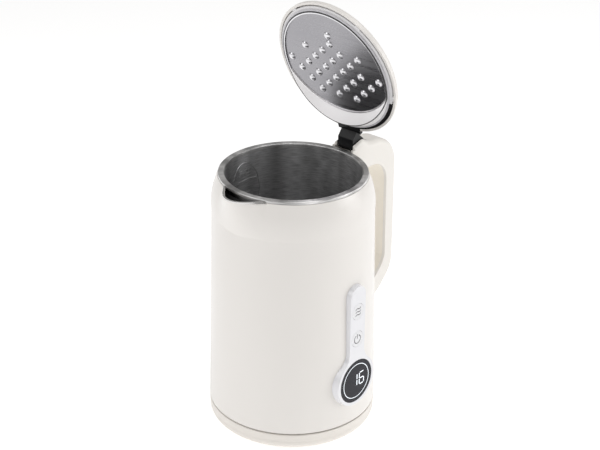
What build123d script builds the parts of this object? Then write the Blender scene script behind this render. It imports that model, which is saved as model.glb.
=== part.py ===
from build123d import *
import os
from math import asin, cos, degrees, radians, sin, sqrt

os.makedirs("parts", exist_ok=True)

# Double-wall electric kettle on its power base. Millimetres.
# +Z up, origin at the centre of the underside, handle +X, spout -X, control panel -Y.
# The lid is shown open, as far back as its stop allows.

# ---------------------------------------------------------------- outer body
SEAM_LOW = 15.9            # top edge of the power base
SEAM_HIGH = 17.1           # lower edge of the kettle's wall
BODY_R_LOW = 74.0          # outside radius at the seam
BODY_R_HIGH = 70.0         # outside radius where the shoulder starts
SHOULDER_Z = 200.0
NECK_R = 64.4              # outside radius under the rim
NECK_Z = 231.2
WALL = 2.4

# ---------------------------------------------------------------- steel liner
RIM_TOP = 233.8
RIM_OUT_R = 63.9
LINER_R = 58.5             # inside radius of the pot
LINER_T = 0.8
FLOOR_Z = 48.0             # inside floor of the pot
FLOOR_CORNER = 3.0

# ---------------------------------------------------------------- hinge and lid
HINGE_X = 78.0
HINGE_Z = 237.1
LID_OPEN = 72.6            # degrees
LID_Z = 237.0              # height of the lid's widest circle when it is shut
LID_R = 63.4
PIN_R = 1.6
ARM_HALF = 8.5
SLOT_HALF = 9.3
PIN_HALF = 11.0            # the pin ends inside the two cheeks

# ---------------------------------------------------------------- control panel
FACE_Y = 75.4              # distance of the panel's face in front of the axis
DISC_Z = 57.5
HEAT_Z = 126.0
POWER_Z = 99.5
STRIP_TOP = 150.0
STRIP_HALF = 9.4
DISC_R = 23.3
LENS_R = 20.4
LENS_T = 1.55
KEY_R = 7.25
KEY_GAP = 0.2
DRAFT = 2.0                # how much wider the bezel is at its foot

# ---------------------------------------------------------------- base
DECK_Z = 18.4
POST_R = 8.0
POST_TOP = 32.0
COVER_Z = 18.6             # underside of the kettle's bottom cover


def body_r(z):
    """outside radius of the straight part of the kettle's wall"""
    return BODY_R_LOW + (BODY_R_HIGH - BODY_R_LOW) * (z - SEAM_HIGH) / (SHOULDER_Z - SEAM_HIGH)


def save(piece, name):
    piece.label = name
    export_step(piece, "parts/" + name + ".step")


def body_solid(grow, top=NECK_Z):
    """the kettle's outer form as one solid, grown by the given amount"""
    with BuildPart() as solid:
        with BuildSketch(Plane.XZ):
            with BuildLine():
                Polyline((0, top + 8), (0, SEAM_HIGH - 4), (body_r(SEAM_HIGH - 4) + grow, SEAM_HIGH - 4))
                Line((body_r(SEAM_HIGH - 4) + grow, SEAM_HIGH - 4), (BODY_R_HIGH + grow, SHOULDER_Z))
                ThreePointArc((BODY_R_HIGH + grow, SHOULDER_Z), (SHOULDER_MID[0] + grow, SHOULDER_MID[1]),
                              (NECK_R + grow, NECK_Z))
                Polyline((NECK_R + grow, NECK_Z), (NECK_R + grow, top + 8), (0, top + 8))
            make_face()
        revolve(axis=Axis.Z)
    return solid.part


SHOULDER_MID = (69.25, 216.5)
shoulder = Edge.make_three_point_arc((BODY_R_HIGH, SHOULDER_Z), SHOULDER_MID, (NECK_R, NECK_Z))
BEAK_LOW = 198.0           # where the spout starts to part from the wall
BEAK_TOP = 230.8
BEAK_TIP_LOW = 69.95
BEAK_TIP_HIGH = 77.3
BEAK_HALF = 25.0           # half the angle that the spout takes of the wall
BEAK_SINK = 0.25           # how deep its sides run into the wall
BEAK_BACK = 50.0


def shoulder_r(z):
    """outside radius of the shoulder at a height"""
    centre = shoulder.arc_center
    return centre.X + sqrt(shoulder.radius ** 2 - (z - centre.Y) ** 2)


def beak_solid(inset, low, high):
    """the spout's form: the wall swells smoothly into a rounded nose that grows upwards"""
    steps = 6
    with BuildPart() as nose:
        for step in range(steps + 1):
            level = low + (high - low) * step / steps
            tip = BEAK_TIP_LOW + (BEAK_TIP_HIGH - BEAK_TIP_LOW) * (level - BEAK_LOW) / (BEAK_TOP - BEAK_LOW)
            swell = max(tip - shoulder_r(level), 0.0) + BEAK_SINK
            foot = shoulder_r(level) - BEAK_SINK - inset
            points = []
            for place in range(-5, 6):
                turn = radians(180 - BEAK_HALF * place / 5)
                reach = foot + swell * cos(radians(90 * place / 5)) ** 2
                points.append((reach * cos(turn), reach * sin(turn)))
            turn = radians(BEAK_HALF)
            with BuildSketch(Plane.XY.offset(level)):
                with BuildLine():
                    Spline(*points)
                    Polyline(points[-1], (-BEAK_BACK * cos(turn), BEAK_BACK * sin(turn)),
                             (-BEAK_BACK * cos(turn), -BEAK_BACK * sin(turn)), points[0])
                make_face()
        loft()
    return nose.part


def keyhole(grow):
    """outline of the control panel, drawn on a plane that looks along -Y"""
    with BuildSketch() as outline:
        with Locations((0, DISC_Z)):
            Circle(DISC_R + grow)
        with Locations((0, (STRIP_TOP - STRIP_HALF + DISC_Z) / 2)):
            Rectangle(2 * (STRIP_HALF + grow), STRIP_TOP - STRIP_HALF - DISC_Z)
        with Locations((0, STRIP_TOP - STRIP_HALF)):
            Circle(STRIP_HALF + grow)
        joint_z = DISC_Z + sqrt((DISC_R + grow) ** 2 - (STRIP_HALF + grow) ** 2)
        for side in (-1, 1):
            corner = outline.vertices().sort_by_distance(Vector(side * (STRIP_HALF + grow), joint_z, 0))[0]
            fillet(corner, radius=16)
    return outline.sketch


# ================================================================ power base
with BuildPart() as base_shell:
    with BuildSketch(Plane.XZ):
        with BuildLine():
            Polyline((69.0, 1.0), (66.8, 1.0), (66.8, 3.4), (69.4, 3.4), (71.0, 6.0), (71.6, 13.6), (66.0, 16.0))
            Polyline((66.0, 16.0), (14.0, 16.0), (14.0, DECK_Z), (68.6, DECK_Z), (69.8, SEAM_LOW))
            Line((69.8, SEAM_LOW), (BODY_R_LOW - 0.5, SEAM_LOW))
            Line((BODY_R_LOW - 0.5, SEAM_LOW), (BODY_R_LOW, SEAM_LOW - 0.5))
            Line((BODY_R_LOW, SEAM_LOW - 0.5), (73.6, 9.0))
            ThreePointArc((73.6, 9.0), (72.6, 3.6), (69.0, 1.0))
        make_face()
    revolve(axis=Axis.Z)
    with BuildSketch(Plane.YZ.offset(66)):
        with Locations((0, 8.2)):
            Circle(4.6)
    extrude(amount=10, mode=Mode.SUBTRACT)
save(base_shell.part, "base_shell")

SCREW_RING = 52.0
FOOT_RING = 56.0
with BuildPart() as base_bottom_plate:
    with BuildSketch(Plane.XY.offset(1.0)):
        Circle(66.6)
        with PolarLocations(SCREW_RING, 3, start_angle=60):
            Circle(2.0, mode=Mode.SUBTRACT)
    extrude(amount=2.2)
    with BuildSketch(Plane.XY.offset(3.2)):
        with PolarLocations(SCREW_RING, 3, start_angle=60):
            Circle(4.0)
            Circle(2.0, mode=Mode.SUBTRACT)
    extrude(amount=1.0)
save(base_bottom_plate.part, "base_bottom_plate")

with BuildPart() as base_feet:
    with BuildSketch(Plane.XY):
        with PolarLocations(FOOT_RING, 4, start_angle=45):
            Circle(6.0)
        Circle(6.0)
    extrude(amount=1.0)
    chamfer(base_feet.edges().filter_by(GeomType.CIRCLE).group_by(Axis.Z)[0], length=0.4)
save(base_feet.part, "base_feet")

with BuildPart() as base_screws:
    with BuildSketch(Plane.XY.offset(0.4)):
        with PolarLocations(SCREW_RING, 3, start_angle=60):
            Circle(1.9)
    extrude(amount=15.6)
    with BuildSketch(Plane.XY.offset(0.2)):
        with PolarLocations(SCREW_RING, 3, start_angle=60):
            Circle(3.0)
            Rectangle(3.6, 0.8, mode=Mode.SUBTRACT)
    extrude(amount=0.8)
save(base_screws.part, "base_screws")

with BuildPart() as connector_post:
    with BuildSketch(Plane.XZ):
        with BuildLine():
            Polyline((3.05, 6.0), (20.0, 6.0), (20.0, 8.0), (13.9, 8.0), (13.9, DECK_Z), (POST_R, DECK_Z))
            Polyline((POST_R, DECK_Z), (POST_R, POST_TOP - 1.2), (POST_R - 1.2, POST_TOP), (6.25, POST_TOP))
            Polyline((6.25, POST_TOP), (6.25, 24.0), (5.35, 24.0), (5.35, POST_TOP), (3.05, POST_TOP), (3.05, 6.0))
        make_face()
    revolve(axis=Axis.Z)
save(connector_post.part, "connector_post")

with BuildPart() as base_contacts:
    with BuildSketch(Plane.XZ):
        with Locations((2.6, 18.5)):
            Rectangle(0.8, 25.0)
        with Locations((5.8, 27.85)):
            Rectangle(0.8, 7.5)
    revolve(axis=Axis.Z)
save(base_contacts.part, "base_contacts")

with BuildPart() as cord_gland:
    with BuildSketch(Plane.YZ.offset(64.0)):
        with Locations((0, 8.2)):
            Circle(4.5)
            Circle(3.0, mode=Mode.SUBTRACT)
    extrude(amount=12.0)
    with BuildSketch(Plane.YZ.offset(64.0)):
        with Locations((0, 8.2)):
            Circle(5.0)
            Circle(3.0, mode=Mode.SUBTRACT)
    extrude(amount=1.6)
save(cord_gland.part, "cord_gland")

with BuildPart() as locating_collar:
    with BuildSketch(Plane.XY.offset(DECK_Z + 0.1)):
        Circle(12.0)
        Circle(POST_R + 0.3, mode=Mode.SUBTRACT)
    extrude(amount=1.8)
    chamfer(locating_collar.edges().group_by(Axis.Z)[-1], length=0.4)
save(locating_collar.part, "locating_collar")

# ================================================================ kettle body
BEAK_WALL = 2.0
POT_ROOM_Z = 209.0

with BuildPart() as outer_shell:
    with BuildSketch(Plane.XZ):
        with BuildLine():
            Line((BODY_R_LOW - 0.5, SEAM_HIGH), (BODY_R_LOW, SEAM_HIGH + 0.5))
            Line((BODY_R_LOW, SEAM_HIGH + 0.5), (BODY_R_HIGH, SHOULDER_Z))
            ThreePointArc((BODY_R_HIGH, SHOULDER_Z), SHOULDER_MID, (NECK_R, NECK_Z))
            Polyline((NECK_R, NECK_Z), (59.6, NECK_Z), (59.6, NECK_Z - WALL), (61.4, NECK_Z - WALL))
            ThreePointArc((61.4, NECK_Z - WALL), (66.7, 215.6), (BODY_R_HIGH - WALL, SHOULDER_Z))
            Polyline((BODY_R_HIGH - WALL, SHOULDER_Z), (BODY_R_LOW - WALL, SEAM_HIGH), (BODY_R_LOW - 0.5, SEAM_HIGH))
        make_face()
    revolve(axis=Axis.Z)
    add(beak_solid(0.0, BEAK_LOW, BEAK_TOP))
    # the beak's core, the pour opening and the room for the pot
    add(beak_solid(BEAK_WALL, BEAK_LOW + 2.0, BEAK_TOP + 2.0), mode=Mode.SUBTRACT)
    with BuildSketch(Plane.XY.offset(BEAK_LOW - 10)):
        Circle(BODY_R_HIGH - WALL - 0.6)
    extrude(amount=POT_ROOM_Z + 1 - BEAK_LOW + 10, mode=Mode.SUBTRACT)
    with BuildSketch(Plane.XY.offset(POT_ROOM_Z)):
        Circle(63.6)
    extrude(amount=NECK_Z - WALL - POT_ROOM_Z, mode=Mode.SUBTRACT)
    with BuildSketch(Plane.XY.offset(NECK_Z - WALL - 0.1)):
        Circle(59.6)
    extrude(amount=5, mode=Mode.SUBTRACT)
    # windows for the display and the two keys
    with BuildSketch(Plane.XZ.offset(60)):
        with Locations((0, DISC_Z)):
            Circle(15.2)
        with Locations((0, HEAT_Z), (0, POWER_Z)):
            Circle(3.6)
    extrude(amount=20, mode=Mode.SUBTRACT)
    # holes for the three handle screws
    with BuildSketch(Plane.YZ.offset(60)):
        with Locations((-7, 218), (7, 218), (0, 73)):
            Circle(1.9)
    extrude(amount=20, mode=Mode.SUBTRACT)
save(outer_shell.part, "outer_shell")

# letters and figures of the level marks, as strokes in a box one unit wide and one unit high
GLYPHS = {
    "M": (((0, 0), (0, 1), (0.5, 0.4), (1, 1), (1, 0)),),
    "A": (((0, 0), (0.5, 1), (1, 0)), ((0.22, 0.36), (0.78, 0.36))),
    "X": (((0, 0), (1, 1)), ((0, 1), (1, 0))),
    "1": (((0.3, 0.8), (0.6, 1), (0.6, 0)),),
    "2": (((0.05, 1), (0.95, 1), (0.95, 0.52), (0.05, 0.48), (0.05, 0), (0.95, 0)),),
    "L": (((0.1, 1), (0.1, 0), (0.9, 0)),),
    ".": (((0.45, 0), (0.6, 0)),),
}
GLYPH_W = 3.6
GLYPH_H = 5.2
EMBOSS = 0.35


def lettering(word, middle_x, foot_z):
    """strokes of a short word, centred on middle_x and standing on foot_z"""
    step = GLYPH_W * 1.45
    start = middle_x - step * (len(word) - 1) / 2 - GLYPH_W / 2
    for place, letter in enumerate(word):
        for stroke in GLYPHS[letter]:
            with BuildLine() as path:
                Polyline(*[(start + step * place + GLYPH_W * x, foot_z + GLYPH_H * z) for x, z in stroke])
            trace(path.line, line_width=0.8)


with BuildSketch() as level_words:
    lettering("MAX", 0, 210.5)
    lettering("1.2L", 0, 185.5)

with BuildPart() as level_emboss:
    with BuildSketch(Plane.XZ.offset(-52)) as marks:
        with Locations((0, 196)):
            Ellipse(17.5, 27)
            Ellipse(16.6, 26.1, mode=Mode.SUBTRACT)
        with Locations((0, 206), (0, 182)):
            Rectangle(28, 0.9)
        with Locations((0, 194), (0, 176)):
            Rectangle(14, 0.9)
        add(level_words.sketch)
    extrude(amount=-8)
    with BuildSketch(Plane.XY.offset(150)):
        Circle(LINER_R + 0.3)
        Circle(LINER_R - EMBOSS, mode=Mode.SUBTRACT)
    extrude(amount=80, mode=Mode.INTERSECT)

with BuildPart() as steel_liner:
    outside = LINER_R + LINER_T
    weld_z = FLOOR_Z + FLOOR_CORNER
    with BuildSketch(Plane.XZ):
        with BuildLine():
            Polyline((LINER_R, weld_z), (outside, weld_z), (outside, 231.5), (RIM_OUT_R, 231.5),
                     (RIM_OUT_R, RIM_TOP - 0.8))
            RadiusArc((RIM_OUT_R, RIM_TOP - 0.8), (RIM_OUT_R - 0.8, RIM_TOP), -0.8)
            Line((RIM_OUT_R - 0.8, RIM_TOP), (LINER_R + 1.0, RIM_TOP))
            RadiusArc((LINER_R + 1.0, RIM_TOP), (LINER_R, RIM_TOP - 1.0), -1.0)
            Line((LINER_R, RIM_TOP - 1.0), (LINER_R, weld_z))
        make_face()
    revolve(axis=Axis.Z)
    # strainer holes in front of the spout
    for row, height in enumerate((206.0, 212.5, 219.0)):
        count = 7 if row % 2 == 0 else 6
        for step in range(count):
            turn = 180 + (step - (count - 1) / 2) * 5.4
            spot = Location((LINER_R * cos(radians(turn)), LINER_R * sin(radians(turn)), height), (0, 90, turn))
            with Locations(spot):
                Cylinder(radius=1.8, height=6, mode=Mode.SUBTRACT)
    add(level_emboss.part)
save(steel_liner.part, "steel_liner")

with BuildPart() as pot_floor:
    with BuildSketch(Plane.XZ):
        with BuildLine():
            Polyline((0, FLOOR_Z), (0, FLOOR_Z - LINER_T), (outside - FLOOR_CORNER - LINER_T, FLOOR_Z - LINER_T))
            RadiusArc((outside - FLOOR_CORNER - LINER_T, FLOOR_Z - LINER_T), (outside, weld_z),
                      -(FLOOR_CORNER + LINER_T))
            Line((outside, weld_z), (LINER_R, weld_z))
            RadiusArc((LINER_R, weld_z), (LINER_R - FLOOR_CORNER, FLOOR_Z), FLOOR_CORNER)
            Line((LINER_R - FLOOR_CORNER, FLOOR_Z), (0, FLOOR_Z))
        make_face()
    revolve(axis=Axis.Z)
    with Locations((0, -24, FLOOR_Z)):
        Cylinder(radius=2.6, height=6, mode=Mode.SUBTRACT)
save(pot_floor.part, "pot_floor")

with BuildPart() as rim_seal:
    with BuildSketch(Plane.XY.offset(NECK_Z + 0.02)):
        Circle(RIM_OUT_R - 0.5)
        Circle(LINER_R + LINER_T + 0.1, mode=Mode.SUBTRACT)
    extrude(amount=0.26)
save(rim_seal.part, "rim_seal")

with BuildPart() as spout_chute:
    with BuildSketch(Plane.XZ):
        with BuildLine():
            Polyline((59.4, 196), (66.6, 196), (66.6, 214), (63.2, 226.5), (59.4, 226.5), (59.4, 196))
        make_face()
    revolve(axis=Axis.Z)
    with BuildSketch(Plane.XZ):
        with BuildLine():
            Polyline((59.0, 197.4), (65.4, 197.4), (65.4, 213.6), (62.2, 227), (59.0, 227), (59.0, 197.4))
        make_face()
    revolve(axis=Axis.Z, mode=Mode.SUBTRACT)
    with BuildSketch(Plane.XY.offset(190)):
        with BuildLine():
            Polyline((0, 0), (-90 * cos(radians(23)), 90 * sin(radians(23))), (-90, 0),
                     (-90 * cos(radians(23)), -90 * sin(radians(23))), (0, 0))
        make_face()
    extrude(amount=45, mode=Mode.INTERSECT)
    # side walls
    for side in (-1, 1):
        wall_plane = Plane(origin=(0, 0, 0), x_dir=(-cos(radians(22.4)), side * sin(radians(22.4)), 0),
                           z_dir=(side * sin(radians(22.4)), cos(radians(22.4)), 0))
        with BuildSketch(wall_plane):
            with BuildLine():
                Polyline((59.4, 196), (66.2, 196), (66.2, 214), (62.8, 226.5), (59.4, 226.5), (59.4, 196))
            make_face()
        extrude(amount=0.6, both=True)
    add(outer_shell.part, mode=Mode.SUBTRACT)
save(spout_chute.part, "spout_chute")

with BuildPart() as spout_lip:
    add(beak_solid(-0.35, BEAK_LOW, BEAK_TOP + 1.6))
    add(beak_solid(1.5, BEAK_LOW - 1, BEAK_TOP + 2.6), mode=Mode.SUBTRACT)
    with BuildSketch(Plane.XY.offset(BEAK_LOW - 5)):
        Circle(120)
    extrude(amount=BEAK_TOP + 0.05 - BEAK_LOW + 5, mode=Mode.SUBTRACT)
    with BuildSketch(Plane.XY.offset(BEAK_LOW - 5)):
        Circle(RIM_OUT_R + 0.9)
    extrude(amount=60, mode=Mode.SUBTRACT)
save(spout_lip.part, "spout_lip")

# ---------------------------------------------------------------- underside and heater
with BuildPart() as kettle_bottom_cover:
    with BuildSketch(Plane.XY.offset(COVER_Z)):
        Circle(BODY_R_LOW - WALL - 0.1)
        Circle(13.4, mode=Mode.SUBTRACT)
        with PolarLocations(SCREW_RING, 3, start_angle=0):
            Circle(1.9, mode=Mode.SUBTRACT)
    extrude(amount=2.2)
    with BuildSketch(Plane.XY.offset(COVER_Z + 2.2)):
        with PolarLocations(SCREW_RING, 3, start_angle=0):
            Circle(3.8)
            Circle(1.9, mode=Mode.SUBTRACT)
        Circle(16.6)
        Circle(15.2, mode=Mode.SUBTRACT)
    extrude(amount=7)
save(kettle_bottom_cover.part, "kettle_bottom_cover")

with BuildPart() as kettle_socket:
    with BuildSketch(Plane.XZ):
        with BuildLine():
            Polyline((13.3, COVER_Z), (13.3, COVER_Z + 2.3), (15.0, COVER_Z + 2.3), (15.0, 38.0), (1.65, 38.0))
            Polyline((1.65, 38.0), (1.65, 34.5), (POST_R + 0.6, 34.5), (POST_R + 0.6, 22.0), (12.4, 20.9))
            Polyline((12.4, 20.9), (12.4, COVER_Z), (13.3, COVER_Z))
        make_face()
    revolve(axis=Axis.Z)
save(kettle_socket.part, "kettle_socket")

with BuildPart() as kettle_contacts:
    with BuildSketch(Plane.XY.offset(24.0)):
        Circle(1.6)
    extrude(amount=17.0)
    fillet(kettle_contacts.edges().group_by(Axis.Z)[0], radius=1.2)
save(kettle_contacts.part, "kettle_contacts")

with BuildPart() as bottom_screws:
    with BuildSketch(Plane.XY.offset(COVER_Z + 0.1)):
        with PolarLocations(SCREW_RING, 3, start_angle=0):
            Circle(1.8)
    extrude(amount=11)
save(bottom_screws.part, "bottom_screws")

with BuildPart() as heating_plate:
    with BuildSketch(Plane.XY.offset(43.6)):
        Circle(47.0)
        with Locations((0, -24)):
            Circle(2.6, mode=Mode.SUBTRACT)
    extrude(amount=3.5)
save(heating_plate.part, "heating_plate")

ELEMENT_RING = 34.0
ELEMENT_R = 3.6
with BuildPart() as heating_element:
    with BuildSketch(Plane.XZ):
        with Locations((ELEMENT_RING, 43.5 - ELEMENT_R)):
            Circle(ELEMENT_R)
    revolve(axis=Axis.Z, revolution_arc=310)
    for turn in (0, 310):
        with BuildSketch(Plane.XY.offset(30)):
            with Locations((ELEMENT_RING * cos(radians(turn)), -ELEMENT_RING * sin(radians(turn)))):
                Circle(1.6)
        extrude(amount=9)
save(heating_element.part, "heating_element")

with BuildPart() as thermostat_cutouts:
    with BuildSketch(Plane.XY.offset(39.4)):
        with Locations((21, 8), (-21, 8)):
            Circle(6.5)
    extrude(amount=4.1)
    with BuildSketch(Plane.XY.offset(35.4)):
        with Locations((21, 8), (-21, 8)):
            Rectangle(6, 11)
    extrude(amount=4.0)
save(thermostat_cutouts.part, "thermostat_cutouts")

with BuildPart() as ntc_probe:
    with BuildSketch(Plane.XY.offset(38.0)):
        with Locations((0, -24)):
            Circle(2.5)
    extrude(amount=14.0)
    fillet(ntc_probe.edges().group_by(Axis.Z)[-1], radius=2.0)
    with BuildSketch(Plane.XY.offset(40.4)):
        with Locations((0, -24)):
            Circle(4.2)
    extrude(amount=3.0)
save(ntc_probe.part, "ntc_probe")

with BuildPart() as power_board:
    with BuildSketch(Plane.XY.offset(23.0)):
        with Locations((10, 40)):
            Rectangle(48, 26)
    extrude(amount=1.6)
save(power_board.part, "power_board")

with BuildPart() as relay_block:
    with BuildSketch(Plane.XY.offset(24.6)):
        with Locations((22, 40)):
            Rectangle(15, 18)
    extrude(amount=9.5)
    with BuildSketch(Plane.XY.offset(24.6)):
        with Locations((2, 42)):
            Circle(5.0)
    extrude(amount=9.0)
save(relay_block.part, "relay_block")

# ---------------------------------------------------------------- handle
HANDLE_HALF = 12.0
GRIP_BAND = 2.4
HANDLE_TOP = 235.0


INNER_BEND = 20.0


def handle_outline():
    """side view of the handle's loop, with the swell round the lid's hinge at its top"""
    rounding = (((125.0, HANDLE_TOP), 28), ((126.3, 101), 30), ((106, 79), 40),
                ((97, 95), INNER_BEND), ((112.7, 111), INNER_BEND), ((111.0, 213.0), INNER_BEND))
    with BuildSketch() as side_view:
        with BuildLine():
            Spline((60, 238.0), (78.5, 241.6), (96, HANDLE_TOP), tangents=((1, 0), (1, 0)))
            Polyline((96, HANDLE_TOP), (125.0, HANDLE_TOP), (126.3, 101), (106, 79), (60, 58.5),
                     (60, 84), (97, 95), (112.7, 111), (111.0, 213.0), (60, 213.5), (60, 238.0))
        make_face()
        for (corner_x, corner_z), size in rounding:
            fillet(side_view.vertices().sort_by_distance(Vector(corner_x, corner_z, 0))[0], radius=size)
    return side_view.sketch


def grip_band(width):
    """strip that follows the inside of the loop"""
    with BuildSketch() as strip:
        with BuildLine() as path:
            FilletPolyline((70, 87), (97, 95), (112.7, 111), (111.0, 213.0), (84, 213.3), radius=INNER_BEND)
        trace(path.line, line_width=2 * width)
    return strip.sketch


def is_outer(edge):
    middle = edge @ 0.5
    return middle.Z > 228 or middle.X > 118.3 or middle.Z < 73 + 0.4 * (middle.X - 65)


handle_cutter = body_solid(0.05)

with BuildPart() as handle_shell:
    with BuildSketch(Plane.XZ):
        add(handle_outline())
    extrude(amount=HANDLE_HALF, both=True)
    rims = handle_shell.edges().filter_by(lambda e: abs(abs((e @ 0.5).Y) - HANDLE_HALF) < 0.01 and (e @ 0.5).X > 60.5)
    fillet(rims.filter_by(is_outer), radius=5.0)
    # hollow grip
    with BuildSketch(Plane.XZ):
        add(handle_outline())
        offset(amount=-2.6)
        with Locations((60, 150)):
            Rectangle(56, 300, mode=Mode.SUBTRACT)
        with Locations((90, 260)):
            Rectangle(28, 100, mode=Mode.SUBTRACT)
    extrude(amount=9.0, both=True, mode=Mode.SUBTRACT)
    with BuildSketch(Plane.XZ):
        add(handle_outline())
        add(grip_band(GRIP_BAND), mode=Mode.INTERSECT)
        with Locations((60, 150)):
            Rectangle(56, 300, mode=Mode.SUBTRACT)
    extrude(amount=9.1, both=True, mode=Mode.SUBTRACT)
    # slot for the lid's arm and bore for the pin
    with BuildSketch(Plane.XZ):
        with BuildLine():
            Polyline((56, 250), (56, 232), (65.0, 226), (70, 223.6), (82, 223.6), (84.8, 227), (84.8, 250), (56, 250))
        make_face()
    extrude(amount=SLOT_HALF, both=True, mode=Mode.SUBTRACT)
    with Locations(Location((HINGE_X, 0, HINGE_Z), (90, 0, 0))):
        Cylinder(radius=PIN_R + 0.01, height=2 * PIN_HALF + 0.2, mode=Mode.SUBTRACT)
    # where it meets the wall, the rim and the shut lid's bracket
    add(handle_cutter, mode=Mode.SUBTRACT)
    with BuildSketch(Plane.XY.offset(234.6)):
        with Locations((58, 0)):
            Rectangle(16.6, 40)
    extrude(amount=20, mode=Mode.SUBTRACT)
    with BuildSketch(Plane.XY.offset(222)):
        Circle(NECK_R + 0.4)
    extrude(amount=30, mode=Mode.SUBTRACT)
    with BuildSketch(Plane.YZ.offset(60)):
        with Locations((-7, 218), (7, 218), (0, 73)):
            Circle(1.85)
    extrude(amount=24, mode=Mode.SUBTRACT)
save(handle_shell.part, "handle_shell")

with BuildPart() as handle_grip_cover:
    with BuildSketch(Plane.XZ):
        add(handle_outline())
        add(grip_band(GRIP_BAND - 0.05), mode=Mode.INTERSECT)
        with Locations((60.1, 150)):
            Rectangle(56, 300, mode=Mode.SUBTRACT)
    extrude(amount=9.0, both=True)
    add(handle_cutter, mode=Mode.SUBTRACT)
save(handle_grip_cover.part, "handle_grip_cover")

with BuildPart() as handle_screws:
    with BuildSketch(Plane.YZ.offset(64.4)):
        with Locations((-7, 218), (7, 218)):
            Circle(1.8)
    extrude(amount=16)
    with BuildSketch(Plane.YZ.offset(62.8)):
        with Locations((-7, 218), (7, 218)):
            Circle(3.0)
    extrude(amount=1.6)
    with BuildSketch(Plane.YZ.offset(69.6)):
        with Locations((0, 73)):
            Circle(1.8)
    extrude(amount=13)
    with BuildSketch(Plane.YZ.offset(68.2)):
        with Locations((0, 73)):
            Circle(3.0)
    extrude(amount=1.6)
save(handle_screws.part, "handle_screws")

with BuildPart() as hinge_pin:
    with Locations(Location((HINGE_X, 0, HINGE_Z), (90, 0, 0))):
        Cylinder(radius=PIN_R, height=2 * PIN_HALF)
save(hinge_pin.part, "hinge_pin")

with BuildPart() as friction_washers:
    for side in (-1, 1):
        with BuildSketch(Plane.XZ.offset(side * 8.95 + 0.3)):
            with Locations((HINGE_X, HINGE_Z)):
                Circle(4.2)
                Circle(PIN_R + 0.02, mode=Mode.SUBTRACT)
        extrude(amount=-0.6)
save(friction_washers.part, "friction_washers")

# ---------------------------------------------------------------- control panel
with BuildPart() as panel_bezel:
    with BuildSketch(Plane.XZ.offset(64)):
        add(keyhole(DRAFT))
    extrude(amount=FACE_Y - 64, taper=9.9)
    add(body_solid(0.03), mode=Mode.SUBTRACT)
    with BuildSketch(Plane.XZ.offset(FACE_Y - LENS_T - 0.15)):
        with Locations((0, DISC_Z)):
            Circle(LENS_R + 0.05)
    extrude(amount=6, mode=Mode.SUBTRACT)
    with BuildSketch(Plane.XZ.offset(64)):
        with Locations((0, HEAT_Z), (0, POWER_Z)):
            Circle(KEY_R + KEY_GAP)
        with Locations((0, DISC_Z)):
            Circle(15.2)
    extrude(amount=20, mode=Mode.SUBTRACT)
save(panel_bezel.part, "panel_bezel")

with BuildPart() as display_lens:
    with BuildSketch(Plane.XZ.offset(FACE_Y - LENS_T - 0.1)):
        with Locations((0, DISC_Z)):
            Circle(LENS_R)
    extrude(amount=LENS_T)
    chamfer(display_lens.edges().group_by(Axis.Y)[0], length=0.25)
save(display_lens.part, "display_lens")

with BuildPart() as display_ring:
    with BuildSketch(Plane.XZ.offset(FACE_Y - 0.09)):
        with Locations((0, DISC_Z)):
            Circle(16.5)
            Circle(15.95, mode=Mode.SUBTRACT)
    extrude(amount=0.08)
save(display_ring.part, "display_ring")

SEGMENT_W = 0.95
SEGMENT_L = 4.8
DIGIT_Z = 58.2
DIGIT_STEP = 5.8           # from one level bar to the next
SIX_X = 7.0
SIX_HALF = 2.9
with BuildPart() as display_digits:
    with BuildSketch(Plane.XZ.offset(FACE_Y - 0.09)):
        # figure 1: two upright bars
        with Locations((1.0, DIGIT_Z + DIGIT_STEP / 2), (1.0, DIGIT_Z - DIGIT_STEP / 2)):
            Rectangle(SEGMENT_W, SEGMENT_L)
        # figure 6: three level bars, two bars at the left and one at the lower right
        with Locations((SIX_X, DIGIT_Z + DIGIT_STEP), (SIX_X, DIGIT_Z), (SIX_X, DIGIT_Z - DIGIT_STEP)):
            Rectangle(2 * SIX_HALF - 1.3, SEGMENT_W)
        with Locations((SIX_X - SIX_HALF, DIGIT_Z + DIGIT_STEP / 2), (SIX_X - SIX_HALF, DIGIT_Z - DIGIT_STEP / 2),
                       (SIX_X + SIX_HALF, DIGIT_Z - DIGIT_STEP / 2)):
            Rectangle(SEGMENT_W, SEGMENT_L)
    extrude(amount=0.08)
save(display_digits.part, "display_digits")

with BuildPart() as display_module:
    with BuildSketch(Plane.XZ.offset(66.5)):
        with Locations((0, DISC_Z)):
            Rectangle(22, 18)
    extrude(amount=6.6)
    with BuildSketch(Plane.XZ.offset(64.9)):
        with Locations((0, DISC_Z + 1)):
            Rectangle(26, 30)
    extrude(amount=1.6)
save(display_module.part, "display_module")

KEY_BACK = 1.6             # thickness of a key's cap
with BuildPart() as key_board:
    with BuildSketch(Plane.XZ.offset(62.6)):
        with Locations((0, (HEAT_Z + POWER_Z) / 2)):
            Rectangle(16, 44)
    extrude(amount=1.4)
save(key_board.part, "key_board")

with BuildPart() as key_switches:
    with BuildSketch(Plane.XZ.offset(64.0)):
        with Locations((0, HEAT_Z), (0, POWER_Z)):
            Rectangle(6, 6)
    extrude(amount=1.8)
save(key_switches.part, "key_switches")


def key_blank(height):
    """round key with its stem"""
    with BuildPart() as blank:
        with BuildSketch(Plane.XZ.offset(FACE_Y - KEY_BACK)):
            with Locations((0, height)):
                Circle(KEY_R)
        extrude(amount=KEY_BACK)
        with BuildSketch(Plane.XZ.offset(66.8)):
            with Locations((0, height)):
                Circle(2.9)
        extrude(amount=FACE_Y - KEY_BACK - 66.8 + 0.1)
    return blank.part


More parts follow.
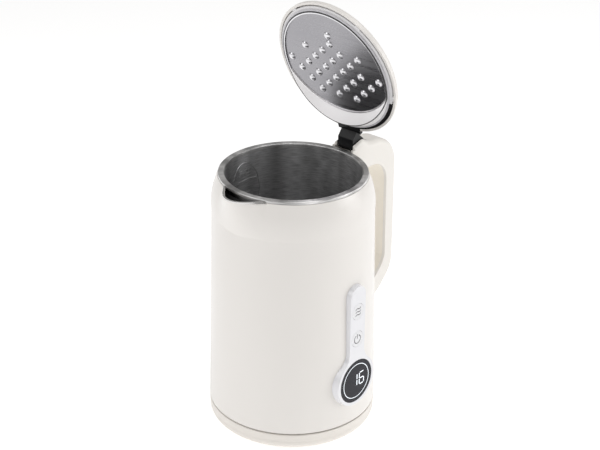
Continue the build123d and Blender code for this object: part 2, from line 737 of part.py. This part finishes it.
ICON_DEPTH = 0.25
with BuildPart() as heat_key:
    add(key_blank(HEAT_Z))
    with BuildSketch(Plane.XZ.offset(FACE_Y - ICON_DEPTH)):
        for lift in (-2.9, 0.0, 2.9):
            with BuildLine() as wave:
                Spline((-3.1, HEAT_Z + lift - 0.9), (-1.0, HEAT_Z + lift + 0.3), (1.0, HEAT_Z + lift - 0.3),
                       (3.1, HEAT_Z + lift + 0.9))
            trace(wave.line, line_width=0.8)
    extrude(amount=2, mode=Mode.SUBTRACT)
save(heat_key.part, "heat_key")

with BuildPart() as power_key:
    add(key_blank(POWER_Z))
    with BuildSketch(Plane.XZ.offset(FACE_Y - ICON_DEPTH)):
        with Locations((0, POWER_Z - 0.3)):
            Circle(4.3)
            Circle(3.5, mode=Mode.SUBTRACT)
        with Locations((0, POWER_Z + 3.6)):
            Rectangle(3.2, 3.0, mode=Mode.SUBTRACT)
        with Locations((0, POWER_Z + 2.4)):
            Rectangle(0.8, 4.4)
    extrude(amount=2, mode=Mode.SUBTRACT)
save(power_key.part, "power_key")

WIRE_R = 0.9
with BuildPart() as wiring:
    for shift in (-2.5, 0.0, 2.5):
        with BuildLine() as route:
            FilletPolyline((-14.2, 38 + shift, 26), (-30 + shift, 34 + shift, 27), (-39 + shift, 0, 30),
                           (-31 + shift, -46, 33), (-22 + shift, -61, 52), (-21 + shift, -62, 100), radius=10)
        with BuildSketch(Plane(origin=route.line @ 0, z_dir=route.line % 0)):
            Circle(WIRE_R)
        sweep(path=route.line)
save(wiring.part, "wiring")

# ================================================================ lid
# Each lid piece is drawn shut, in its own frame: height 0 is the widest circle, -Z faces the water.
turn_back = radians(LID_OPEN)
arm_x = -HINGE_X
arm_z = LID_Z - HINGE_Z
LID = Plane(origin=(HINGE_X + arm_x * cos(turn_back) + arm_z * sin(turn_back), 0,
                    HINGE_Z - arm_x * sin(turn_back) + arm_z * cos(turn_back)),
            x_dir=(cos(turn_back), 0, -sin(turn_back)), z_dir=(sin(turn_back), 0, cos(turn_back)))


def opened(piece):
    """the same piece, swung open with the lid"""
    with BuildPart() as swung:
        with Locations(LID.location):
            add(piece)
    return swung.part


def dome_arc(top, edge_r, edge_h):
    """arc of a shallow dome from its edge to its top, centred on the axis"""
    drop = top - edge_h
    dome_r = (edge_r ** 2 + drop ** 2) / (2 * drop)
    span = degrees(asin(edge_r / dome_r))
    return CenterArc((0, top - dome_r), dome_r, 90 - span, span)


SKIRT_LOW = -1.8
PLUG_FLOOR = -4.0          # dimpled plate
LIP_LOW = -5.0             # its raised lip
RAMP_LOW = -11.0           # lowest edge of the ramp on the hinge side
RAMP_CENTRE = -25.0
RAMP_R = 65.0
RAMP_SLOPE = 1.571
PLATE_T = 0.8
FLOOR_R = 54.6             # the dimpled floor ends here and the lip begins
EDGE_SEAL_T = 0.7          # dark seal between the plate's edge and the carrier
EDGE_SEAL_H = 0.9
SECTOR = 71                # half angle of the hinge bracket's arc
LID_SCREWS = ((44, 9), (44, -9), (-46, 0))

with BuildPart() as lid_shell:
    with BuildSketch(Plane.XZ):
        with BuildLine():
            dome_arc(10.0, 61.0, 3.2)
            ThreePointArc((61.0, 3.2), (62.75, 2.2), (LID_R, 0.4))
            Polyline((LID_R, 0.4), (LID_R, SKIRT_LOW), (61.2, SKIRT_LOW), (61.2, 0.8))
            dome_arc(7.6, 61.2, 0.8)
            Line((0, 7.6), (0, 10.0))
        make_face()
    revolve(axis=Axis.Z)
    with BuildSketch(Plane.XY.offset(1.5)):
        with BuildLine():
            Polyline((58, 12.3), (64.6, 12.3), (65.6, 11.3), (65.6, 9.0), (70.0, 9.0), (70.0, -9.0), (65.6, -9.0),
                     (65.6, -11.3), (64.6, -12.3), (58, -12.3), (58, 12.3))
        make_face()
    extrude(amount=1.9)
    with BuildSketch(Plane.XY.offset(SKIRT_LOW - 1)):
        with Locations((63, 0)):
            Rectangle(8, 26)
    extrude(amount=1.4 - SKIRT_LOW + 0.6, mode=Mode.SUBTRACT)
    # bosses for the three lid screws
    with BuildSketch(Plane.XY.offset(0.2)):
        with Locations(*LID_SCREWS):
            Circle(3.4)
    extrude(amount=4.8)
    with BuildSketch(Plane.XY.offset(0.2)):
        with Locations(*LID_SCREWS):
            Circle(1.5)
    extrude(amount=3.6, mode=Mode.SUBTRACT)
save(opened(lid_shell.part), "lid_shell")


def plug_cone(inset):
    """the lid's lower part before its underside is hollowed"""
    with BuildPart() as cone:
        with BuildSketch(Plane.XZ):
            with BuildLine():
                Polyline((0, -0.8), (60.0 - inset, -0.8), (60.0 - inset, -2.2), (57.9 - inset, -2.9),
                         (56.6 - inset, -4.6), (51.6 - inset, RAMP_LOW - 0.4), (0, RAMP_LOW - 0.4), (0, -0.8))
            make_face()
        revolve(axis=Axis.Z)
    return cone.part


def plug_form(lift):
    """the cone, hollowed by the plate's floor and by the ramp on the hinge side; lift thins it from below"""
    with BuildPart() as form:
        add(plug_cone(0.0))
        with BuildSketch(Plane.XY.offset(LIP_LOW + lift)):
            with Locations((RAMP_CENTRE, 0)):
                Circle(RAMP_R + RAMP_SLOPE)
        with BuildSketch(Plane.XY.offset(RAMP_LOW - 1)):
            with Locations((RAMP_CENTRE, 0)):
                Circle(RAMP_R + RAMP_SLOPE * (PLUG_FLOOR - RAMP_LOW + 1 + lift))
        loft(ruled=True, mode=Mode.SUBTRACT)
        with BuildSketch(Plane.XY.offset(LIP_LOW - 0.1 + lift)):
            with Locations((RAMP_CENTRE, 0)):
                Circle(RAMP_R + RAMP_SLOPE / 2)
            Circle(FLOOR_R, mode=Mode.INTERSECT)
        extrude(amount=PLUG_FLOOR - LIP_LOW + 0.1, mode=Mode.SUBTRACT)
    return form.part


plug_full = plug_form(0.0)
plate_zone = plug_cone(EDGE_SEAL_T)

with BuildPart() as lid_plug:
    add(plug_form(EDGE_SEAL_H))
    # hollow between the carrier and the lid's shell
    with BuildSketch(Plane.XY.offset(-1.0)):
        Circle(50)
        with Locations(*LID_SCREWS):
            Circle(3.4, mode=Mode.SUBTRACT)
    extrude(amount=2, mode=Mode.SUBTRACT)
    # the flange steps back for the hinge bracket
    for arc in (SECTOR, -SECTOR):
        with BuildSketch(Plane.XZ):
            with Locations((59.6, -1.2)):
                Rectangle(4.2, 3.4)
        revolve(axis=Axis.Z, revolution_arc=arc, mode=Mode.SUBTRACT)
    with BuildSketch(Plane.XY.offset(-2.05)):
        with Locations((56, 0)):
            Rectangle(20, 25.6)
        with Locations(*LID_SCREWS):
            Circle(1.6)
    extrude(amount=4, mode=Mode.SUBTRACT)
save(opened(lid_plug.part), "lid_plug")

with BuildPart() as plate_seal:
    add(plug_full)
    add(plug_form(EDGE_SEAL_H), mode=Mode.SUBTRACT)
    add(plate_zone, mode=Mode.SUBTRACT)
save(opened(plate_seal.part), "plate_seal")

BUMP_BASE = 3.7            # radius of a bump's foot
BUMP_RISE = 1.9
BUMP_R = (BUMP_BASE ** 2 + BUMP_RISE ** 2) / (2 * BUMP_RISE)
ROW_PITCH = 8.4
HALF_PITCH = 9.7
# rows of bumps from the free edge towards the hinge, in half pitches from the middle
BUMP_ROWS = ((4, (0,)), (3, (0,)), (2, (-3, -1, 1, 3)), (1, (-2, 0, 2)), (0, (-5, -3, -1, 1, 3, 5)),
             (-1, (-4, -2, 0, 2, 4)), (-2, (-3, -1, 1, 3)), (-3, (-2, 0, 2)))
with BuildPart() as bumps:
    for row, places in BUMP_ROWS:
        for place in places:
            with Locations((-row * ROW_PITCH - 0.6, place * HALF_PITCH, PLUG_FLOOR + BUMP_R - BUMP_RISE)):
                Sphere(radius=BUMP_R)
    with BuildSketch(Plane.XY.offset(PLUG_FLOOR + 0.4)):
        Circle(80)
    extrude(amount=10, mode=Mode.SUBTRACT)

with BuildPart() as lid_plate:
    add(plug_full)
    add(plug_form(PLATE_T), mode=Mode.SUBTRACT)
    add(plate_zone, mode=Mode.INTERSECT)
    add(bumps.part)
save(opened(lid_plate.part), "lid_plate")

with BuildPart() as lid_gasket:
    with BuildSketch(Plane.XZ):
        with BuildLine():
            Polyline((57.72, -3.14), (58.1, -3.2), (58.1, -4.1), (57.7, -4.4), (56.76, -4.4), (57.72, -3.14))
        make_face()
    revolve(axis=Axis.Z)
save(opened(lid_gasket.part), "lid_gasket")

CLIP_TURNS = (-145, -77, 77, 145)
with BuildPart() as lid_clips:
    for turn in CLIP_TURNS:
        with BuildSketch(Plane.XY.offset(-2.3)):
            with Locations(Location((60.6 * cos(radians(turn)), 60.6 * sin(radians(turn)), 0), turn)):
                Rectangle(3.0, 5.0)
        extrude(amount=1.7)
    with BuildSketch(Plane.XY.offset(-2.3)):
        Circle(61.18)
        Circle(60.02, mode=Mode.SUBTRACT)
    extrude(amount=1.7, mode=Mode.INTERSECT)
save(opened(lid_clips.part), "lid_clips")

with BuildPart() as lid_screws:
    with BuildSketch(Plane.XY.offset(-2.0)):
        with Locations(*LID_SCREWS):
            Circle(1.4)
    extrude(amount=5.6)
save(opened(lid_screws.part), "lid_screws")

ARM_LOW = -1.9             # underside of the arm's plate, in the lid's frame
with BuildPart() as hinge_arm:
    with BuildSketch(Plane.XZ):
        with BuildLine():
            Polyline((64.6, -2.4), (69.2, -8.6), (78.6, -11.8), (83.0, -8.0), (83.0, 0.1), (81.5, 3.7), (78.0, 5.1))
            Polyline((78.0, 5.1), (74.0, 3.6), (70.0, 1.0), (64.6, 1.0), (64.6, -2.4))
        make_face()
    extrude(amount=ARM_HALF, both=True)
    with BuildSketch(Plane.XY.offset(ARM_LOW)):
        with Locations((59.3, 0)):
            Rectangle(12.6, 25.0)
    extrude(amount=2.9)
    with BuildSketch(Plane.XZ):
        with Locations((59.4, -1.15)):
            Rectangle(3.2, 1.5)
    revolve(axis=Axis.Z, revolution_arc=SECTOR - 1)
    with BuildSketch(Plane.XZ):
        with Locations((59.4, -1.15)):
            Rectangle(3.2, 1.5)
    revolve(axis=Axis.Z, revolution_arc=1 - SECTOR)
    with Locations(Location((HINGE_X, 0, HINGE_Z - LID_Z), (90, 0, 0))):
        Cylinder(radius=PIN_R + 0.06, height=40, mode=Mode.SUBTRACT)
save(opened(hinge_arm.part), "hinge_arm")
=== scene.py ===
import bpy
from math import cos, radians, sin
from mathutils import Matrix, Vector


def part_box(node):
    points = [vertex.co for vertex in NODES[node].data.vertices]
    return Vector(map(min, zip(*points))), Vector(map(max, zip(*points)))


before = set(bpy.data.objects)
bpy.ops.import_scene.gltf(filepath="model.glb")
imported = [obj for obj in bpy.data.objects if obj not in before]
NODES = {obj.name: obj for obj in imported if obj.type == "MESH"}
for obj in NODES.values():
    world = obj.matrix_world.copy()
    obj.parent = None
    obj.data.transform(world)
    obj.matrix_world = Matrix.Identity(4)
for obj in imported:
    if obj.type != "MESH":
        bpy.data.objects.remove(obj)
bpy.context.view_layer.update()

# Metres, in the frame of the model: +Z up, handle +X, spout -X, control panel -Y.
CAMERA_AT = Vector((-0.8502, -0.7763, 0.7457))
HEADING = 47.9             # degrees from +Y towards +X
PITCH = 26.07              # degrees down
ROLL = 0.53
LENS_MM = 89.46
SENSOR_MM = 36.0


# ---------------------------------------------------------------- node helpers
class Shader:
    """a material with a Principled shader, and short calls that add nodes to it"""

    def __init__(self, name, color, roughness, metallic=0.0, **sockets):
        self.material = bpy.data.materials.new(name)
        self.material.use_nodes = True
        self.tree = self.material.node_tree
        self.bsdf = self.tree.nodes["Principled BSDF"]
        self.color = color
        self.set(self.bsdf, "Base Color", (*color, 1.0))
        self.set(self.bsdf, "Roughness", roughness)
        self.set(self.bsdf, "Metallic", metallic)
        for socket, value in sockets.items():
            self.set(self.bsdf, socket.replace("_", " "), value)
        self.spot = None

    def set(self, node, socket, value):
        node.inputs[socket].default_value = value

    def node(self, kind, **settings):
        made = self.tree.nodes.new("ShaderNode" + kind)
        for key, value in settings.items():
            setattr(made, key, value)
        return made

    def link(self, source, target):
        self.tree.links.new(source, target)

    def place(self):
        """object coordinates, which stay with the piece when it moves"""
        if self.spot is None:
            self.spot = self.node("TexCoord").outputs["Object"]
        return self.spot

    def scaled(self, scale):
        mapping = self.node("Mapping")
        mapping.inputs["Scale"].default_value = scale
        self.link(self.place(), mapping.inputs["Vector"])
        return mapping.outputs["Vector"]

    def noise(self, scale, detail=3.0, stretch=(1.0, 1.0, 1.0), where=None):
        texture = self.node("TexNoise")
        texture.inputs["Scale"].default_value = scale
        texture.inputs["Detail"].default_value = detail
        self.link(where or self.scaled(stretch), texture.inputs["Vector"])
        return texture.outputs["Fac"]

    def math(self, operation, first, second=0.0, third=0.0):
        node = self.node("Math", operation=operation)
        for socket, value in zip(node.inputs, (first, second, third)):
            if isinstance(value, (int, float)):
                socket.default_value = value
            else:
                self.link(value, socket)
        return node.outputs[0]

    def spread(self, fac, low, high, from_low=0.3, from_high=0.7):
        """a number that runs from low to high as fac runs over its middle part"""
        node = self.node("MapRange")
        node.inputs["From Min"].default_value = from_low
        node.inputs["From Max"].default_value = from_high
        node.inputs["To Min"].default_value = low
        node.inputs["To Max"].default_value = high
        self.link(fac, node.inputs["Value"])
        return node.outputs["Result"]

    def blend(self, fac, first, second):
        """colour that runs from first to second"""
        node = self.node("Mix", data_type="RGBA")
        self.link(fac, node.inputs["Factor"])
        for socket, value in ((node.inputs[6], first), (node.inputs[7], second)):
            if isinstance(value, tuple):
                socket.default_value = (*value, 1.0)
            else:
                self.link(value, socket)
        return node.outputs[2]

    def bump(self, height, strength, distance):
        node = self.node("Bump")
        node.inputs["Strength"].default_value = strength
        node.inputs["Distance"].default_value = distance
        self.link(height, node.inputs["Height"])
        self.link(node.outputs["Normal"], self.bsdf.inputs["Normal"])

    def feed(self, source, socket):
        self.link(source, self.bsdf.inputs[socket])


def shade(color, factor):
    return tuple(channel * factor for channel in color)


def cylinder_space(shader, turns, levels):
    """coordinates wrapped round the upright axis: first along the circle, then up"""
    split = shader.node("SeparateXYZ")
    shader.link(shader.place(), split.inputs[0])
    angle = shader.math("ARCTAN2", split.outputs["Y"], split.outputs["X"])
    join = shader.node("CombineXYZ")
    shader.link(shader.math("MULTIPLY", angle, turns), join.inputs["X"])
    shader.link(shader.math("MULTIPLY", split.outputs["Z"], levels), join.inputs["Y"])
    return join.outputs[0], split


# ---------------------------------------------------------------- materials
def moulded(name, color, roughness, grain=0.00002, coat=0.0, drift=0.03,
            specular=0.5):
    """moulded plastic: faint flow marks in the colour, an uneven gloss and a fine skin"""
    shader = Shader(name, color, roughness, Coat_Weight=coat, Coat_Roughness=0.06,
                    Specular_IOR_Level=specular)
    clouds = shader.noise(14.0, 4.0)
    shader.feed(shader.blend(clouds, shade(color, 1.0 - drift), shade(color, 1.0 + drift)), "Base Color")
    haze = shader.noise(22.0, 2.0)
    shader.feed(shader.spread(haze, roughness - 0.02, roughness + 0.03), "Roughness")
    shader.bump(shader.noise(420.0, 1.0), 0.1, grain)
    return shader.material


def brushed_pot(name):
    """deep-drawn pot, brushed round its sides: painted shade makes it darker inside than on its rolled rim,
    and painted reflection bands run up its sides
    """
    # the inside colour is darkened as painted shade; the rim keeps the lighter steel
    shaded_wall = (0.58, 0.58, 0.585)
    rim = (0.66, 0.655, 0.65)
    shader = Shader(name, shaded_wall, 0.42, 1.0, Anisotropic=0.6, Anisotropic_Rotation=0.25)
    around, split = cylinder_space(shader, 4.0, 900.0)
    lines = shader.noise(1.6, 6.0, where=around)
    # slow bands around the pot, painted into the colour as reflection bands
    painted_reflection_bands = shader.noise(0.55, 1.0, where=cylinder_space(shader, 4.0, 1.5)[0])
    grain_and_reflection_tone = shader.math("MULTIPLY", shader.spread(lines, 0.72, 1.25), shader.spread(painted_reflection_bands, 0.5, 1.5))
    height = shader.node("MapRange")
    height.inputs["From Min"].default_value = 0.2290
    height.inputs["From Max"].default_value = 0.2325
    shader.link(split.outputs["Z"], height.inputs["Value"])
    base = shader.blend(height.outputs["Result"], shaded_wall, rim)
    shaded_and_banded = shader.node("Mix", data_type="RGBA", blend_type="MULTIPLY")
    shaded_and_banded.inputs["Factor"].default_value = 1.0
    shader.link(base, shaded_and_banded.inputs[6])
    grey = shader.node("CombineColor")
    for channel in ("Red", "Green", "Blue"):
        shader.link(grain_and_reflection_tone, grey.inputs[channel])
    shader.link(grey.outputs[0], shaded_and_banded.inputs[7])
    shader.feed(shaded_and_banded.outputs[2], "Base Color")
    shader.feed(shader.spread(lines, 0.34, 0.50), "Roughness")
    tangent = shader.node("Tangent", direction_type="RADIAL", axis="Z")
    shader.feed(tangent.outputs[0], "Tangent")
    shader.bump(lines, 0.3, 0.00003)
    return shader.material


def polished_steel(name, color=(0.60, 0.59, 0.60), roughness=0.16, line_scale=260.0):
    """polished sheet with hairlines that show only close up"""
    shader = Shader(name, color, roughness, 1.0)
    lines = shader.noise(line_scale, 6.0, stretch=(1.0, 0.05, 1.0))
    cloud = shader.noise(30.0, 3.0)
    shader.feed(shader.blend(cloud, shade(color, 0.93), shade(color, 1.05)), "Base Color")
    shader.feed(shader.spread(lines, roughness - 0.03, roughness + 0.07), "Roughness")
    shader.bump(lines, 0.12, 0.00002)
    return shader.material


LID_OPEN = radians(72.6)   # how far the lid stands open in the modelled pose
LID_AXIS_X = (cos(LID_OPEN), 0.0, -sin(LID_OPEN))
LID_CENTRE = Vector((0.07800 - 0.07800 * cos(LID_OPEN) - 0.0001 * sin(LID_OPEN), 0.0,
                     0.23710 + 0.07800 * sin(LID_OPEN) - 0.0001 * cos(LID_OPEN)))
LID_AXIS_Z = (sin(LID_OPEN), 0.0, cos(LID_OPEN))
CROWN_FOOT = -0.0042       # a bump's foot and the top of its painted highlight, along the lid's own Z
CROWN_TOP = -0.0050
CRESCENT_CENTRE = -0.025   # along the lid's own X
CRESCENT_R = 0.0653


def pressed_plate(name):
    """pressed plate: painted highlights on the tops of its bumps, and a painted highlight on a rougher
    crescent on its hinge side
    """
    shader = Shader(name, (0.46, 0.455, 0.475), 0.3, 1.0)
    along = shader.node("VectorMath", operation="DOT_PRODUCT")
    shader.link(shader.place(), along.inputs[0])
    along.inputs[1].default_value = LID_AXIS_X
    start = LID_CENTRE.dot(Vector(LID_AXIS_X)) + CRESCENT_CENTRE
    across = shader.node("SeparateXYZ")
    shader.link(shader.place(), across.inputs[0])
    lengthwise = shader.math("SUBTRACT", along.outputs["Value"], start)
    reach = shader.math("SQRT", shader.math("ADD", shader.math("MULTIPLY", lengthwise, lengthwise),
                                            shader.math("MULTIPLY", across.outputs["Y"], across.outputs["Y"])))
    crescent = shader.spread(reach, 0.0, 1.0, CRESCENT_R - 0.0002, CRESCENT_R + 0.0002)
    cloud = shader.noise(24.0, 3.0)
    polished = shader.blend(cloud, (0.32, 0.315, 0.34), (0.40, 0.395, 0.41))
    upright = shader.node("VectorMath", operation="DOT_PRODUCT")
    shader.link(shader.place(), upright.inputs[0])
    upright.inputs[1].default_value = LID_AXIS_Z
    level = LID_CENTRE.dot(Vector(LID_AXIS_Z))
    # the bump tops are painted near white as a painted highlight
    crown_highlight = shader.spread(upright.outputs["Value"], 1.0, 0.0, level + CROWN_TOP, level + CROWN_FOOT)
    highlighted = shader.blend(crown_highlight, polished, (0.82, 0.815, 0.84))
    # the crescent is painted near white as a painted highlight; its added roughness is a satin finish
    shader.feed(shader.blend(crescent, highlighted, (0.97, 0.955, 0.965)), "Base Color")
    lines = shader.noise(260.0, 6.0, stretch=(1.0, 0.05, 1.0))
    satin = shader.spread(crescent, 0.0, 0.16, 0.0, 1.0)
    shader.feed(shader.math("ADD", shader.spread(lines, 0.24, 0.33), satin), "Roughness")
    shader.bump(lines, 0.12, 0.00002)
    return shader.material


def fastener(name):
    """zinc plated screws with a machined grain"""
    shader = Shader(name, (0.48, 0.48, 0.47), 0.3, 1.0)
    cloud = shader.noise(900.0, 3.0)
    shader.feed(shader.blend(cloud, (0.40, 0.39, 0.36), (0.58, 0.58, 0.57)), "Base Color")
    shader.feed(shader.spread(cloud, 0.24, 0.42), "Roughness")
    shader.bump(cloud, 0.3, 0.00002)
    return shader.material


def soft_rubber(name, color, roughness=0.62):
    shader = Shader(name, color, roughness, Sheen_Weight=0.15)
    cloud = shader.noise(200.0, 4.0)
    shader.feed(shader.blend(cloud, shade(color, 0.88), shade(color, 1.08)), "Base Color")
    shader.feed(shader.spread(cloud, roughness - 0.08, roughness + 0.08), "Roughness")
    shader.bump(shader.noise(2200.0, 2.0), 0.35, 0.00003)
    return shader.material


def inked_key(name, centre_z, color=(0.83, 0.83, 0.85), ink=(0.045, 0.045, 0.05)):
    """white key whose engraved sign is filled with dark ink"""
    low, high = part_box(name)
    engraved = low.y + 0.00012
    reach = 0.0058
    shader = Shader(name + "_cap", color, 0.24, Coat_Weight=0.5, Coat_Roughness=0.05)
    split = shader.node("SeparateXYZ")
    shader.link(shader.place(), split.inputs[0])
    deep = shader.math("GREATER_THAN", split.outputs["Y"], engraved)
    across = shader.math("MULTIPLY", split.outputs["X"], split.outputs["X"])
    lift = shader.math("SUBTRACT", split.outputs["Z"], centre_z)
    radius = shader.math("ADD", across, shader.math("MULTIPLY", lift, lift))
    near = shader.math("LESS_THAN", radius, reach ** 2)
    mask = shader.math("MULTIPLY", deep, near)
    cloud = shader.noise(60.0, 3.0)
    cap = shader.blend(cloud, shade(color, 0.97), shade(color, 1.03))
    shader.feed(shader.blend(mask, cap, ink), "Base Color")
    shader.feed(shader.spread(shader.noise(300.0), 0.2, 0.3), "Roughness")
    shader.bump(shader.noise(1500.0, 2.0), 0.15, 0.00001)
    return shader.material


def smoked_lens(name):
    """dark glossy window with a faint cloud under its surface"""
    shader = Shader(name, (0.014, 0.014, 0.020), 0.07, Specular_IOR_Level=0.22)
    cloud = shader.noise(45.0, 3.0)
    shader.feed(shader.blend(cloud, (0.011, 0.011, 0.016), (0.018, 0.018, 0.026)), "Base Color")
    shader.feed(shader.spread(shader.noise(160.0, 4.0), 0.05, 0.12), "Roughness")
    return shader.material


def lit_mark(name):
    """lit segments, their glow varying faintly at random"""
    shader = Shader(name, (0.85, 0.88, 0.92), 0.5)
    cloud = shader.noise(500.0, 2.0)
    glow = shader.blend(cloud, (0.78, 0.84, 0.92), (0.95, 0.98, 1.0))
    shader.feed(glow, "Base Color")
    shader.feed(glow, "Emission Color")
    shader.set(shader.bsdf, "Emission Strength", 0.6)
    return shader.material


def copper_alloy(name):
    shader = Shader(name, (0.72, 0.52, 0.26), 0.25, 1.0)
    cloud = shader.noise(500.0, 4.0)
    shader.feed(shader.blend(cloud, (0.60, 0.42, 0.20), (0.80, 0.62, 0.34)), "Base Color")
    shader.feed(shader.spread(cloud, 0.18, 0.38), "Roughness")
    shader.bump(cloud, 0.2, 0.00002)
    return shader.material


def cast_alloy(name):
    shader = Shader(name, (0.60, 0.60, 0.60), 0.45, 1.0)
    cloud = shader.noise(350.0, 6.0)
    shader.feed(shader.blend(cloud, (0.48, 0.48, 0.48), (0.68, 0.68, 0.67)), "Base Color")
    shader.feed(shader.spread(cloud, 0.36, 0.6), "Roughness")
    shader.bump(cloud, 0.5, 0.00006)
    return shader.material


CREAM = (0.865, 0.835, 0.80)


def dress():
    """gives every CAD node its material"""
    body = moulded("body_cream_gloss", CREAM, 0.30, coat=0.25, drift=0.012)
    handle = moulded("handle_cream_gloss", (0.88, 0.85, 0.805), 0.30, coat=0.25, drift=0.012)
    # the grip cover's colour is a lighter, warmer copy of the handle cream: painted light lifting the handle's
    # shaded inner face, with the warm cast of that shade
    grip = moulded("grip_painted_light_satin", (0.96, 0.91, 0.81), 0.42, grain=0.00005)
    base = moulded("base_cream_satin", (0.84, 0.80, 0.75), 0.38, grain=0.00004)
    black = moulded("black_satin", (0.03, 0.03, 0.03), 0.45, grain=0.00006, drift=0.15)
    gloss = moulded("black_semi_gloss", (0.006, 0.006, 0.007), 0.34, drift=0.1, specular=0.3)
    panel = moulded("panel_white_gloss", (0.84, 0.84, 0.87), 0.14, coat=0.8, drift=0.01)
    plug = moulded("lid_plug_white", (0.80, 0.79, 0.80), 0.35, drift=0.02)
    board = moulded("board_green", (0.03, 0.20, 0.09), 0.4, drift=0.2)
    relay = moulded("relay_blue", (0.05, 0.12, 0.36), 0.4, drift=0.1)
    pot = brushed_pot("pot_brushed_steel")
    plate = pressed_plate("lid_plate_steel")
    trim = polished_steel("trim_steel", (0.66, 0.65, 0.64), 0.22)
    screws = fastener("screw_zinc")
    silicone = soft_rubber("silicone_lilac_grey", (0.60, 0.59, 0.62), 0.5)
    dark_rubber = soft_rubber("rubber_black", (0.03, 0.03, 0.03))
    wires = soft_rubber("wire_red", (0.5, 0.04, 0.03), 0.45)
    brass = copper_alloy("contact_brass")
    alloy = cast_alloy("heater_alloy")
    lit = lit_mark("display_light")
    chosen = {
        body: ("outer_shell", "lid_shell"),
        handle: ("handle_shell",),
        grip: ("handle_grip_cover",),
        base: ("base_shell", "base_bottom_plate"),
        black: ("connector_post", "locating_collar", "kettle_bottom_cover", "kettle_socket",
                "thermostat_cutouts", "display_module", "key_switches", "spout_chute"),
        gloss: ("hinge_arm",),
        panel: ("panel_bezel",),
        plug: ("lid_plug", "lid_clips"),
        board: ("power_board", "key_board"),
        relay: ("relay_block",),
        pot: ("steel_liner", "pot_floor"),
        plate: ("lid_plate",),
        trim: ("spout_lip", "hinge_pin", "ntc_probe"),
        screws: ("base_screws", "bottom_screws", "handle_screws", "lid_screws"),
        silicone: ("lid_gasket", "rim_seal"),
        dark_rubber: ("base_feet", "cord_gland", "friction_washers", "plate_seal"),
        wires: ("wiring",),
        brass: ("base_contacts", "kettle_contacts"),
        alloy: ("heating_plate", "heating_element"),
        lit: ("display_ring", "display_digits"),
        smoked_lens("lens_smoke"): ("display_lens",),
        inked_key("heat_key", middle("heat_key").z): ("heat_key",),
        inked_key("power_key", middle("power_key").z): ("power_key",),
    }
    for material, names in chosen.items():
        for name in names:
            slots = NODES[name].material_slots
            for slot in slots:
                slot.material = material


def middle(name):
    low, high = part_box(name)
    return (low + high) / 2


# ---------------------------------------------------------------- studio
FLOOR_SIZE = 14.0
FLOOR_GLOW = 0.42          # lifts the floor to the photo's even white
SKY_STRENGTH = 0.38
KETTLE_MIDDLE = (0.0, 0.0, 0.17)
LIGHTS = (                 # name, place, size in metres, watts, aim
    ("key_left", (-1.5, 0.8, 1.3), 1.2, 9.0, KETTLE_MIDDLE),
    ("fill_right", (1.2, -1.8, 1.0), 1.2, 10.0, KETTLE_MIDDLE),
    ("fill_low", (1.4, -1.5, 0.25), 0.9, 4.0, (0.05, 0.0, 0.08)),
    ("top_soft", (0.1, -0.3, 2.0), 1.0, 9.5, KETTLE_MIDDLE),
)
CLIP_START = 0.05
CLIP_END = 30.0


def studio():
    """white floor, even white surroundings and four soft lights"""
    bpy.ops.mesh.primitive_plane_add(size=FLOOR_SIZE, location=(0, 0, 0))
    floor = bpy.context.object
    floor.name = "studio_floor"
    white = Shader("studio_white", (0.95, 0.95, 0.95), 0.9, Specular_IOR_Level=0.0)
    white.set(white.bsdf, "Emission Color", (1.0, 1.0, 1.0, 1.0))
    white.set(white.bsdf, "Emission Strength", FLOOR_GLOW)
    floor.data.materials.append(white.material)

    world = bpy.data.worlds.new("studio_world")
    bpy.context.scene.world = world
    world.use_nodes = True
    sky = world.node_tree.nodes["Background"]
    sky.inputs["Color"].default_value = (1.0, 0.99, 0.98, 1.0)
    sky.inputs["Strength"].default_value = SKY_STRENGTH

    for light in LIGHTS:
        area_light(*light)


def area_light(name, place, size, power, aim):
    """square soft light at a place, turned towards its aim"""
    light = bpy.data.lights.new(name, "AREA")
    light.shape = "SQUARE"
    light.size = size
    light.energy = power
    lamp = bpy.data.objects.new(name, light)
    lamp.location = place
    lamp.rotation_euler = (Vector(aim) - Vector(place)).to_track_quat("-Z", "Y").to_euler()
    bpy.context.scene.collection.objects.link(lamp)


def camera():
    """the photo's camera, from its fitted heading, pitch, roll and place"""
    heading = radians(HEADING)
    level = Vector((sin(heading), cos(heading), 0.0))
    right = Vector((cos(heading), -sin(heading), 0.0))
    forward = level * cos(radians(PITCH)) - Vector((0, 0, 1)) * sin(radians(PITCH))
    up = level * sin(radians(PITCH)) + Vector((0, 0, 1)) * cos(radians(PITCH))
    turn = radians(ROLL)
    right_rolled = right * cos(turn) + up * sin(turn)
    up_rolled = up * cos(turn) - right * sin(turn)
    data = bpy.data.cameras.new("camera")
    data.lens = LENS_MM
    data.sensor_width = SENSOR_MM
    data.clip_start = CLIP_START
    data.clip_end = CLIP_END
    eye = bpy.data.objects.new("camera", data)
    facing = Matrix((right_rolled, up_rolled, -forward)).transposed().to_4x4()
    eye.matrix_world = Matrix.Translation(CAMERA_AT) @ facing
    bpy.context.scene.collection.objects.link(eye)
    bpy.context.scene.camera = eye


dress()
studio()
camera()
bpy.context.scene.view_settings.view_transform = "Standard"
